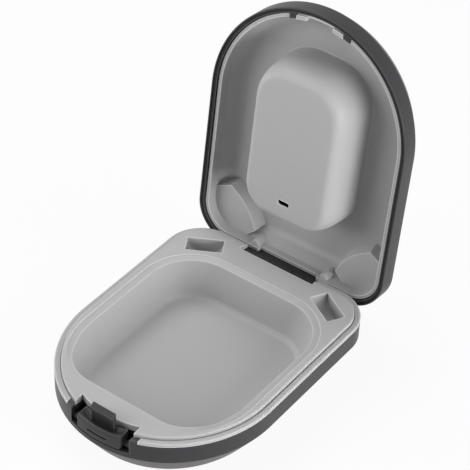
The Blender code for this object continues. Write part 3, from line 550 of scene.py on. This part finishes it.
def lower_shell():
    """The dark shell of the base: bevelled sides, latch window, hinge opening and the recess underneath."""
    section = list(reversed(base_profile(0)))
    section += [(0, POST_TOP), (SHELL_WALL, POST_TOP)]
    section += plain(base_profile(SHELL_WALL))
    obj = case_loft("lower_shell", rounded(section, steps=8))
    trim = prism("trim", case_outline(-OVER), -GAP, POST_TOP + OVER)
    posts = box("posts", (-POST_HALF, POST_HALF), (-FRONT - 2 * OVER, 0), (-OVER, POST_TOP + 2 * OVER))
    combine(obj, "DIFFERENCE", combine(trim, "DIFFERENCE", posts))
    combine(obj, "UNION", latch_cage(), hinge_block())
    window_z = (-WINDOW_DEPTH, POST_TOP + OVER)
    bore_half = CAGE_HALF + GAP
    combine(obj, "DIFFERENCE",
            front_slice("window", (-WINDOW_HALF, WINDOW_HALF), (None, CAGE_INSET), window_z),
            spring_rod("spring_seat", (LATCH_Y, SPRING_BACK)),
            rod("latch_bores", LATCH_PIN + FINE_GAP, LATCH_Y, LATCH_Z, (-bore_half, bore_half)),
            box("hinge_opening", (-HINGE_OPENING_HALF, HINGE_OPENING_HALF),
                (HINGE_Y - KNUCKLE_RADIUS - GAP, BACK + OVER), (-HINGE_OPENING_DEPTH, OVER)))
    combine(obj, "UNION", base_knuckle())
    recess = case_outline(base_profile(0)[-1][0] + RECESS_INSET)
    combine(obj, "DIFFERENCE",
            rod("hinge_bores", PIN_RADIUS + FINE_GAP, HINGE_Y, HINGE_Z, (-PIN_BORE_HALF, PIN_BORE_HALF)),
            prism("recess", recess, -BASE_DEPTH - OVER, RECESS_DEPTH - BASE_DEPTH))
    place(obj, "base", "base_shell", dark)


# Latch

LATCH_Y, LATCH_Z, LATCH_PIN = 0.0039 - FRONT, -0.0034, 0.0006
BUTTON_HALF, BUTTON_TOP, BUTTON_FLOOR, BUTTON_INSET = 0.0083, 0.0009, 2 * GAP - WINDOW_DEPTH, 0.0044
BUTTON_EDGE, BUTTON_EASE, BUTTON_STEPS = 0.0004, 0.00012, 24
LIP_RADIUS, LIP_STEPS = 0.0006, 6
HOLLOW_DEPTH, HOLLOW_TURN, HOLLOW_POWER, HOLLOW_STEPS = 0.0018, 1.7 * math.pi, 4, 16
BARREL_RADIUS = 0.0011
GRIP_HALF, GRIP_DEPTH, GRIP_Z = 0.0037, 0.0008, (-0.0026, -0.0018)
HOOK_HALF, HOOK_NECK, HOOK_NOSE_REACH = 0.0043, 0.0013, 0.0007
HOOK_BACK_TOP, HOOK_NOSE_TOP = 0.0063, 0.0050
SPRING_Z, SPRING_RADIUS, SPRING_WIRE, SPRING_TURNS = -0.0013, 0.0008, 0.00022, 3.5
SPRING_FRONT, SPRING_BACK = 0.0038 - FRONT, CAGE_INSET + 0.0017 - FRONT
SPRING_HOLE = SPRING_RADIUS + SPRING_WIRE + 2 * FINE_GAP
SPRING_PRESSED_SHARE, WIRE_STEPS = 0.9, 12


def button_ring(x, ease):
    """The button's section at x: an upright front, a soft lip and the finger hollow behind it."""
    top = BUTTON_TOP - ease
    points = [(BUTTON_INSET - ease, BUTTON_FLOOR + ease), (ease, BUTTON_FLOOR + ease)]
    for step in range(LIP_STEPS + 1):
        angle = math.pi / 2 / LIP_STEPS * step
        points.append((ease + LIP_RADIUS * (1 - math.cos(angle)), top - LIP_RADIUS * (1 - math.sin(angle))))
    fade = 1 - (abs(x) / BUTTON_HALF) ** HOLLOW_POWER
    for step in range(1, HOLLOW_STEPS + 1):
        share = step / HOLLOW_STEPS
        dip = HOLLOW_DEPTH * fade * (1 - math.cos(HOLLOW_TURN * share)) / 2
        points.append((LIP_RADIUS + ease + (BUTTON_INSET - LIP_RADIUS - 2 * ease) * share, top - dip))
    ring = []
    for inset, z in points:
        ring.append((x, (inset - FRONT) * math.sqrt(1 - (x / (HALF_WIDTH - inset)) ** 2), z))
    return ring


def latch_hook():
    """The hook that stands up behind the button and reaches under the lid's catch."""
    back = BUTTON_INSET - FRONT
    neck = back - HOOK_NECK
    nose = neck - HOOK_NOSE_REACH
    under = LID_RIM + CATCH_DEPTH + GAP
    root = BUTTON_FLOOR / 2
    profile = rounded([(back, root), (back, HOOK_BACK_TOP, BROAD), (nose, HOOK_NOSE_TOP, SOFT),
                       (nose, under, CRISP), (neck, under, SOFT), (neck, root)])
    return bar("hook", profile, (-HOOK_HALF, HOOK_HALF), BUTTON_EASE)


def spring_rod(name, y):
    """A round cutter along y for the latch spring."""
    ring = circle(SPRING_HOLE, 0, SPRING_Z)
    return loft(name, [[(x, end, z) for x, z in ring] for end in y])


def button():
    """The latch button with its barrel, hook and grip groove."""
    ends = [(BUTTON_HALF - BUTTON_EASE, BUTTON_EASE), (BUTTON_HALF, BUTTON_EDGE)]
    stations = [(-x, ease) for x, ease in reversed(ends)]
    for step in range(2 * BUTTON_STEPS + 1):
        stations.append(((BUTTON_HALF - BUTTON_EDGE) * (step / BUTTON_STEPS - 1), 0))
    obj = loft("button", [button_ring(x, ease) for x, ease in stations + ends])
    barrel_half = WINDOW_HALF - GAP
    bore_half = barrel_half + OVER
    combine(obj, "UNION",
            rod("barrel", BARREL_RADIUS, LATCH_Y, LATCH_Z, (-barrel_half, barrel_half)),
            latch_hook())
    combine(obj, "DIFFERENCE",
            front_slice("grip", (-GRIP_HALF, GRIP_HALF), (None, GRIP_DEPTH), GRIP_Z),
            rod("bore", LATCH_PIN + FINE_GAP, LATCH_Y, LATCH_Z, (-bore_half, bore_half)),
            spring_rod("spring_hole", (SPRING_FRONT, 0)))
    place(obj, "latch", "latch_button", dark)


def spring():
    """The coil spring behind the button, made at one fixed length."""
    start, end = SPRING_FRONT + SPRING_WIRE + FINE_GAP, SPRING_BACK - SPRING_WIRE - FINE_GAP
    steps = round(SPRING_TURNS * ARC_STEPS)
    wire = circle(SPRING_WIRE, steps=WIRE_STEPS)
    rings = []
    for step in range(steps + 1):
        angle = 2 * math.pi * step / ARC_STEPS
        middle = start + (end - start) * step / steps
        rings.append([((SPRING_RADIUS + out) * math.cos(angle), middle + along,
                       SPRING_Z + (SPRING_RADIUS + out) * math.sin(angle)) for out, along in wire])
    obj = loft("spring", rings)
    place(obj, "base", "latch_spring", bright_steel)
    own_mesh(obj)


# Lid

RIM_EDGE, SEAL_WIDTH, SEAL_DEPTH = 0.0005, 0.0008, 0.0011
STRIP_INSET, STRIP_LOW, STRIP_HIGH, STRIP_GAP_HALF = 0.00015, 0.00035, 0.00095, 0.0145
LID_KNUCKLE_FROM, LID_KNUCKLE_TO, WEB_WALL = 0.0045, 0.0139, 0.0016
LINER_INSET, LINER_WALL, LINER_RECESS = SHELL_WALL + GAP, 0.0012, 0.0009
LINER_FLOOR = LID_DEPTH - LINER_INSET - LINER_WALL
LUG_FROM, LUG_TO, LUG_REACH, LUG_Z = 0.0089, 0.0112, SHELL_WALL + 0.0018, (0.0005, 0.0030)
TAB_FROM, TAB_TOP = 0.0049, 0.0040
CATCH_HALF, CATCH_INSET, CATCH_DEPTH, CATCH_END, CATCH_OVERLAP = 0.0048, 0.0060, 0.00247, 0.0065, 0.0002
CHANNEL_HALF, CHANNEL_REACH, CHANNEL_TOP = 0.0118, 0.0015, 0.0026
PILLOW_CROWN, PILLOW_WALL, PILLOW_POWER = 0.0068, 0.0014, 0.77
PILLOW_SPREAD, PILLOW_INSET, PILLOW_FOOT, PILLOW_FILLET = 0.0052, 0.0018, 0.0038, 0.00035
SLOT_Y, SLOT_HALF, SLOT_RADIUS, SLOT_END = 0.0273, 0.0022, 0.0008, -0.0040
RELIEF_GROW, RELIEF_Z = 0.0018, (-0.0063, -0.0030)
PAD_FROM, PAD_TO, PAD_BULGE, PAD_STEPS = (0.0280, 0.0386), (0.0163, 0.0517), 0.0017, 30
PAD_FLANK, PAD_TOP = 0.0012, 0.0048
RIDGE_X, RIDGE_RADIUS, RIDGE_HEIGHT = 0.0139, 0.00165, 0.0018
# How much smaller the hinge ridge is at each z, from its rounded end upwards
RIDGE_RINGS = ((0.0009, 0.0017), (0.0003, 0.0019), (0.0001, 0.0022), (0, 0.0026), (0, 0.0105))


def upper_shell():
    """The dark shell of the lid: bevelled sides, the rim's groove, two lugs and two knuckles."""
    groove_end = RIM_EDGE + SEAL_WIDTH
    section = list(reversed(lid_profile(0)))
    section += [(0, 0, FINE), (RIM_EDGE, 0, CRISP), (RIM_EDGE, SEAL_DEPTH), (groove_end, SEAL_DEPTH),
                (groove_end, GAP, CRISP), (SHELL_WALL, GAP, CRISP)]
    section += plain(lid_profile(SHELL_WALL))
    obj = case_loft("upper_shell", rounded(section, steps=6))
    axis_z = HINGE_Z - LID_RIM
    web_back = HINGE_Y + KNUCKLE_RADIUS
    for side in (-1, 1):
        span = side_span(side, LID_KNUCKLE_FROM, LID_KNUCKLE_TO)
        combine(obj, "UNION",
                box("web", span, (web_back - WEB_WALL, web_back), (axis_z, 2 * SEAL_DEPTH)),
                rod("knuckle", KNUCKLE_RADIUS, HINGE_Y, axis_z, span, SOFT),
                front_slice("lug", side_span(side, LUG_FROM, LUG_TO), (groove_end + GAP, LUG_REACH), LUG_Z))
    combine(obj, "DIFFERENCE", rod("bore", PIN_RADIUS + FINE_GAP, HINGE_Y, axis_z, (-HALF_WIDTH, HALF_WIDTH)))
    place(obj, "lid", "lid_shell", dark)


def seal():
    """The rubber strip in the rim's groove, open at the hinge."""
    outer, inner = RIM_EDGE + STRIP_INSET, RIM_EDGE + SEAL_WIDTH - STRIP_INSET
    section = [(outer, STRIP_LOW, SOFT), (inner, STRIP_LOW, SOFT), (inner, STRIP_HIGH), (outer, STRIP_HIGH)]
    obj = case_loft("seal", rounded(section, closed=True), closed=True)
    combine(obj, "DIFFERENCE",
            box("gap", (-STRIP_GAP_HALF, STRIP_GAP_HALF), (HINGE_Y - OVER, BACK + OVER), (-OVER, OVER)))
    place(obj, "lid", "lid_seal", black_rubber)


def liner_solid(name, offset, rim):
    """The lid's inside as a full solid, drawn in by offset, from the rim's z to the flat."""
    return case_loft(name, rounded([(offset, rim)] + lid_profile(offset), steps=8))


def liner_limit():
    """What is joined to the liner is held to this solid, half way into its wall."""
    return liner_solid("limit", LINER_INSET + LINER_WALL / 2, 0)


def pillow_section(inwards):
    """Spread and z of the pillow's rounded flank from foot to crown, drawn inwards."""
    crown = inwards - PILLOW_CROWN
    points = []
    for step in range(ARC_STEPS + 1):
        angle = math.pi / 2 * step / ARC_STEPS
        out = PILLOW_SPREAD * math.cos(angle) ** PILLOW_POWER
        rise = math.sin(angle) ** PILLOW_POWER
        points.append((out - PILLOW_INSET - inwards, LINER_FLOOR + (crown - LINER_FLOOR) * rise))
    return points


def pillow_loft(name, section):
    return loft(name, [level(grown(PILLOW, spread), z) for spread, z in section])


def pillow():
    """The pillow that holds the aids down, with a small fillet at its foot."""
    section = [(PILLOW_FOOT, LINER_FLOOR + LINER_WALL / 2), (PILLOW_FOOT, LINER_FLOOR),
               (PILLOW_FOOT - PILLOW_FILLET, LINER_FLOOR - SOFT)]
    section += [(spread, z) for spread, z in pillow_section(0) if z < LINER_FLOOR - 2 * SOFT]
    return pillow_loft("pillow", section)


def pillow_hollow():
    mouth = (PILLOW_FOOT - PILLOW_INSET, LID_DEPTH - LINER_INSET + OVER)
    return pillow_loft("hollow", [mouth] + pillow_section(PILLOW_WALL))


def slot_outline(grow):
    """Outline of the slot through the pillow."""
    radius = SLOT_RADIUS + grow
    outline = quad_outline(SLOT_HALF + grow, radius, radius, radius, radius, radius, steps=8)
    return [(x, SLOT_Y + y) for x, y in outline]


def corner_pad(side):
    """A raised pad in a hinge-side corner of the liner, with a bulged inner edge and a sloped flank."""
    (from_x, from_y), (to_x, to_y) = PAD_FROM, PAD_TO

    def edge(spread):
        points = []
        for step in range(PAD_STEPS + 1):
            share = step / PAD_STEPS
            bulge = (PAD_BULGE * math.sin(math.pi * share) + spread) * math.sqrt(0.5)
            points.append((side * (from_x + (to_x - from_x) * share - bulge),
                           from_y + (to_y - from_y) * share - bulge))
        points.append((side * (to_x + BACK - to_y), BACK))
        points.append((side * HALF_WIDTH, BACK))
        points.append((side * HALF_WIDTH, from_y + (HALF_WIDTH - from_x) / 2))
        return points

    bottom = LID_DEPTH - LINER_INSET - LINER_WALL / 2
    rings = [level(edge(0), PAD_TOP), level(edge(PAD_FLANK), bottom)]
    return combine(loft("pad", rings), "INTERSECT", liner_limit())


def hinge_ridge(side):
    """The half-round rib on the liner's back wall, its end towards the rim rounded over."""
    face = BACK - LINER_INSET - LINER_WALL
    root = face + LINER_WALL / 2
    middle = side * RIDGE_X
    rings = []
    for less, z in RIDGE_RINGS:
        radius = RIDGE_RADIUS - less
        ring = [(middle + x, face - y, z) for x, y in half_round(radius, RIDGE_HEIGHT - less)]
        ring += [(middle - radius, root, z), (middle + radius, root, z)]
        rings.append(ring)
    return combine(loft("ridge", rings), "INTERSECT", liner_limit())


def liner():
    """The light liner of the lid: pillow with its slot, corner pads, ribs, tabs and the catch."""
    obj = liner_solid("liner", LINER_INSET, LINER_RECESS)
    combine(obj, "DIFFERENCE", liner_solid("inside", LINER_INSET + LINER_WALL, -OVER))
    combine(obj, "UNION", pillow())
    for side in (-1, 1):
        tab = front_slice("tab", side_span(side, TAB_FROM, LUG_FROM),
                          (LINER_INSET + GAP, LUG_REACH + GAP - FINE_GAP), (GAP, TAB_TOP))
        combine(obj, "UNION", corner_pad(side), hinge_ridge(side), tab)
        combine(obj, "DIFFERENCE",
                front_slice("lug_notch", side_span(side, LUG_FROM - GAP, LUG_TO + GAP),
                            (None, LUG_REACH + GAP), (-OVER, LUG_Z[1] + GAP)))
    combine(obj, "DIFFERENCE", pillow_hollow())
    catch_x = (-CATCH_HALF, CATCH_HALF)
    channel_y = (BACK - LINER_INSET - LINER_WALL - CHANNEL_REACH, BACK)
    combine(obj, "DIFFERENCE",
            prism("slot", slot_outline(0), -PILLOW_CROWN - OVER, SLOT_END),
            prism("slot_relief", slot_outline(RELIEF_GROW), *RELIEF_Z),
            box("channel", (-CHANNEL_HALF, CHANNEL_HALF), channel_y, (-OVER, CHANNEL_TOP)),
            front_slice("catch_rim", catch_x, (LINER_INSET + LINER_WALL / 2, CATCH_INSET),
                        (-OVER, CATCH_DEPTH + CATCH_OVERLAP)),
            front_slice("catch_pocket", catch_x, (None, CATCH_INSET), (CATCH_DEPTH, CATCH_END)))
    place(obj, "lid", "lid_liner", light)


def plain_nodes():
    """The small nodes whose shape is right keep it, and get their material."""
    for name, node in frame["nodes"].items():
        if name.startswith(("hinge_pin", "latch_pin", "base_screw")):
            material = bright_steel
        elif name == "foot_pad":
            material = black_rubber
        else:
            continue
        node.data.materials.clear()
        node.data.materials.append(material)


# Camera, light and floor

CAMERA_AZIMUTH, CAMERA_ELEVATION, CAMERA_ROLL = 0.60714, 0.69459, 0.04549
# From the middle of the parting line to the right, up and back, in widths of the case
CAMERA_RIGHT, CAMERA_UP, CAMERA_BACK = 0.25109, 0.52618, 8.15292
SENSOR_WIDTH, FOCAL_PIXELS, PICTURE_PIXELS = 36, 1925.93, 470
LAMP_TARGET = (0, 0.02, 0.03)
FLOOR_HALF, FLOOR_Z, FLOOR_GLOW = 3, -0.0002, 0.92


def camera():
    """The camera at the photograph's viewing angle."""
    level_share = math.cos(CAMERA_ELEVATION)
    back = Vector((math.sin(CAMERA_AZIMUTH) * level_share, -math.cos(CAMERA_AZIMUTH) * level_share,
                   math.sin(CAMERA_ELEVATION)))
    across = Vector((math.cos(CAMERA_AZIMUTH), math.sin(CAMERA_AZIMUTH), 0))
    right = math.cos(CAMERA_ROLL) * across + math.sin(CAMERA_ROLL) * back.cross(across)
    up = back.cross(right)
    offset = CAMERA_RIGHT * right + CAMERA_UP * up + CAMERA_BACK * back
    position = offset * (2 * HALF_WIDTH) + Vector((0, 0, PARTING))
    data = bpy.data.cameras.new("camera")
    data.sensor_width = SENSOR_WIDTH
    data.lens = SENSOR_WIDTH * FOCAL_PIXELS / PICTURE_PIXELS
    data.clip_start = 0.01
    data.clip_end = 20
    obj = bpy.data.objects.new("camera", data)
    bpy.context.scene.collection.objects.link(obj)
    obj.matrix_world = Matrix.Translation(position) @ Matrix((right, up, back)).transposed().to_4x4()
    bpy.context.scene.camera = obj


def area_light(name, position, size, power):
    """A square lamp aimed at the middle of the case."""
    data = bpy.data.lights.new(name, "AREA")
    data.shape = "RECTANGLE"
    data.size = data.size_y = size
    data.energy = power
    obj = bpy.data.objects.new(name, data)
    obj.location = position
    obj.rotation_euler = (Vector(position) - Vector(LAMP_TARGET)).to_track_quat("Z", "Y").to_euler()
    bpy.context.scene.collection.objects.link(obj)


def seen_straight(tree):
    """1 for a camera ray and for a ray that a surface mirrors or lets through, else 0."""
    path = tree.nodes.new("ShaderNodeLightPath")
    total = path.outputs["Is Camera Ray"]
    for name in ("Is Glossy Ray", "Is Transmission Ray"):
        add = tree.nodes.new("ShaderNodeMath")
        add.operation = "ADD"
        add.use_clamp = True
        tree.links.new(total, add.inputs[0])
        tree.links.new(path.outputs[name], add.inputs[1])
        total = add.outputs[0]
    return total


def world(strength):
    """Soft even light, and plain white to the camera and in reflections."""
    scene_world = bpy.data.worlds.new("world")
    scene_world.use_nodes = True
    bpy.context.scene.world = scene_world
    tree = scene_world.node_tree
    background = tree.nodes["Background"]
    background.inputs["Color"].default_value = (1, 1, 1, 1)
    level_node = tree.nodes.new("ShaderNodeMix")
    level_node.data_type = "FLOAT"
    tree.links.new(seen_straight(tree), level_node.inputs["Factor"])
    level_node.inputs["A"].default_value = strength
    level_node.inputs["B"].default_value = 1.0
    tree.links.new(level_node.outputs["Result"], background.inputs["Strength"])


def floor():
    """A white floor that keeps the object's shadow and looks as white as the world."""
    bm = bmesh.new()
    corners = [(-FLOOR_HALF, -FLOOR_HALF), (FLOOR_HALF, -FLOOR_HALF), (FLOOR_HALF, FLOOR_HALF),
               (-FLOOR_HALF, FLOOR_HALF)]
    bm.faces.new([bm.verts.new((x, y, FLOOR_Z)) for x, y in corners])
    obj = solid("floor", bm)
    nodes = Nodes("floor")
    nodes.set("Base Color", (0.8, 0.8, 0.8, 1))
    nodes.set("Roughness", 0.9)
    glow = nodes.add("ShaderNodeEmission")
    both = nodes.add("ShaderNodeMixShader")
    nodes.feed(both, 0, nodes.calculate("MULTIPLY", seen_straight(nodes.tree), FLOOR_GLOW))
    nodes.feed(both, 1, nodes.shader.outputs[0])
    nodes.feed(both, 2, glow.outputs[0])
    nodes.feed(nodes.tree.nodes["Material Output"], "Surface", both.outputs[0])
    obj.data.materials.append(nodes.material)


tray()
lower_shell()
button()
spring()
upper_shell()
seal()
liner()
plain_nodes()
camera()
floor()
world(0.05)
area_light("front_left", (-0.5, -0.55, 0.4), 0.5, 3.3)
area_light("right", (0.7, 0.10, 0.35), 0.5, 2.9)
area_light("low_right", (0.75, -0.10, 0.12), 0.3, 4.0)
area_light("top", (0, -0.05, 0.85), 0.6, 0.6)
area_light("top_left", (-0.4, 0.2, 0.7), 0.5, 3.3)
area_light("low_left", (-0.7, -0.3, 0.12), 0.3, 1.2)
bpy.context.scene.view_settings.view_transform = "Standard"
